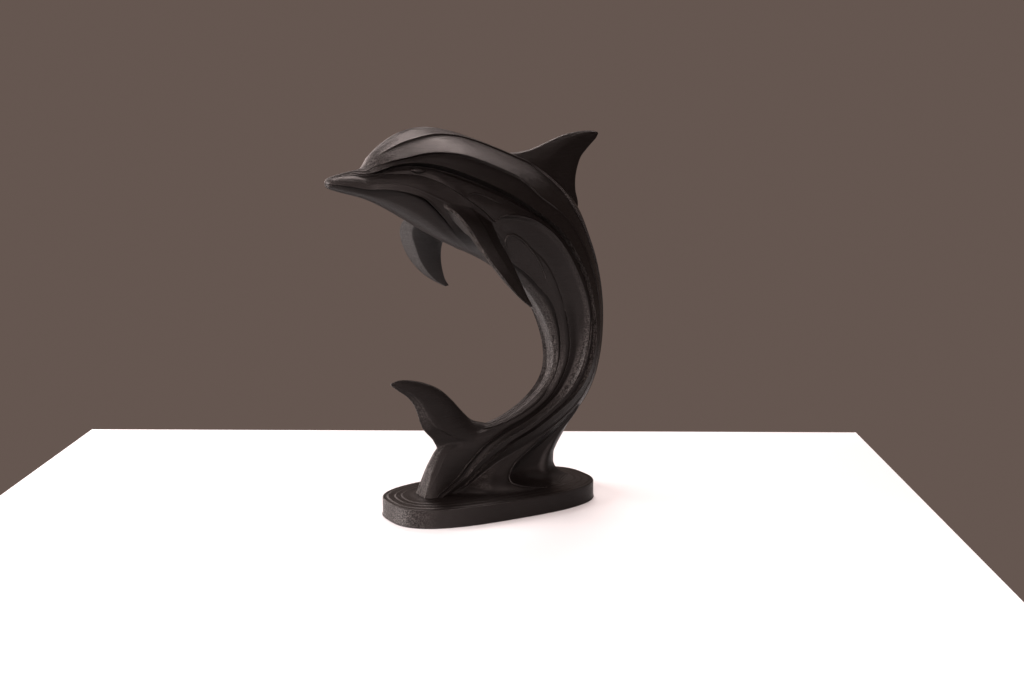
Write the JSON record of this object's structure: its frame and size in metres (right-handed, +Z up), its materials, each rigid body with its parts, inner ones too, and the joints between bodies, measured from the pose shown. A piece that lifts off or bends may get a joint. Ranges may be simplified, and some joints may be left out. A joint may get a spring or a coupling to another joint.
{
  "type": "dolphin statue",
  "caption": "Stylised leaping dolphin in black printed plastic: long beak, swept fins, flowing carved bands, tail curling down through a wave into an oval plinth",
  "frame": {"origin": "centre of the oval plinth's flat underside", "axes": "+Z up, the dolphin looks towards -X, Y across its body"},
  "size_m": [0.139, 0.0922, 0.1754],
  "materials": {
    "black_plastic": "satin black with fine level print layers"
  },
  "bodies": {
    "root": {"dolphin_statue": "black_plastic"}
  },
  "joints": []
}
